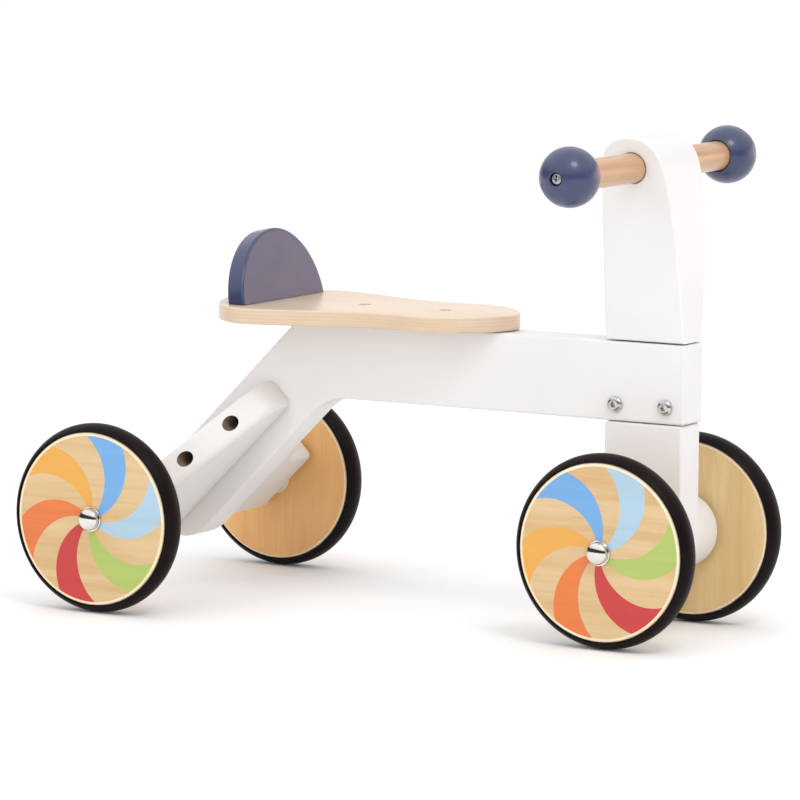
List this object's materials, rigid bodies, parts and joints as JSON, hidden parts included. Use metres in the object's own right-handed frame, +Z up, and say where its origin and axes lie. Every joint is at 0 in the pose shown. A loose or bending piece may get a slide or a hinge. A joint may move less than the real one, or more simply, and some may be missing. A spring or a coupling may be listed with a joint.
{
  "type": "balance bike",
  "caption": "Wooden ride-on balance bike with a contoured seat, low backrest, straight handlebar with ball ends and rubber-tyred disc wheels.",
  "frame": {"origin": "ground level, midway between the two axles, on the bike's mid-plane", "axes": "+X towards the front wheels, +Y to the rider's left, +Z up"},
  "size_m": [0.4918, 0.2734, 0.335],
  "materials": {
    "white_paint": "white satin lacquer on wood",
    "blue_paint": "slate blue satin lacquer on wood",
    "seat_plywood": "clear matt lacquer on birch plywood",
    "bar_wood": "plain sanded beech",
    "wheel_wood": "clear lacquer, printed swirl on the outer face",
    "tyre_rubber": "smooth black rubber",
    "steel": "zinc plated",
    "chrome": "polished",
    "nylon": "natural nylon"
  },
  "bodies": {
    "chassis": {"axle_cap_front_left": "chrome", "axle_cap_front_right": "chrome", "axle_cap_rear_left": "chrome", "axle_cap_rear_right": "chrome", "axle_front": "steel", "axle_rear": "steel", "backrest": "blue_paint", "backrest_screw_left": "steel", "backrest_screw_right": "steel", "ball_screw_left": "steel", "ball_screw_right": "steel", "bracket_bolt_lower": "steel", "bracket_bolt_upper": "steel", "bracket_sleeve_nut_lower": "steel", "bracket_sleeve_nut_upper": "steel", "frame_main": "white_paint", "front_spacer_left": "white_paint", "front_spacer_right": "white_paint", "handlebar": "bar_wood", "handlebar_ball_left": "blue_paint", "handlebar_ball_right": "blue_paint", "hub_washer_front_left": "chrome", "hub_washer_front_right": "chrome", "hub_washer_rear_left": "chrome", "hub_washer_rear_right": "chrome", "inner_washer_front_left": "nylon", "inner_washer_front_right": "nylon", "inner_washer_rear_left": "nylon", "inner_washer_rear_right": "nylon", "post_bolt_front": "steel", "post_bolt_rear": "steel", "post_lower": "white_paint", "post_sleeve_nut_front": "steel", "post_sleeve_nut_rear": "steel", "post_upper": "white_paint", "rear_bracket_left": "white_paint", "rear_bracket_right": "white_paint", "seat": "seat_plywood", "seat_screw_front": "steel", "seat_screw_rear": "steel"},
    "wheel_front_left": {"wheel_disc_front_left": "wheel_wood", "tyre_front_left": "tyre_rubber"},
    "wheel_front_right": {"wheel_disc_front_right": "wheel_wood", "tyre_front_right": "tyre_rubber"},
    "wheel_rear_left": {"wheel_disc_rear_left": "wheel_wood", "tyre_rear_left": "tyre_rubber"},
    "wheel_rear_right": {"wheel_disc_rear_right": "wheel_wood", "tyre_rear_right": "tyre_rubber"}
  },
  "joints": [
    {"name": "front_left_wheel_spin", "type": "hinge", "parent": "chassis", "child": "wheel_front_left", "pos_m": [0.1809, 0.064, 0.065], "axis": [0, 1, 0], "continuous": true},
    {"name": "front_right_wheel_spin", "type": "hinge", "parent": "chassis", "child": "wheel_front_right", "pos_m": [0.1809, -0.064, 0.065], "axis": [0, 1, 0], "continuous": true},
    {"name": "rear_left_wheel_spin", "type": "hinge", "parent": "chassis", "child": "wheel_rear_left", "pos_m": [-0.1809, 0.1203, 0.065], "axis": [0, 1, 0], "continuous": true},
    {"name": "rear_right_wheel_spin", "type": "hinge", "parent": "chassis", "child": "wheel_rear_right", "pos_m": [-0.1809, -0.1203, 0.065], "axis": [0, 1, 0], "continuous": true}
  ]
}
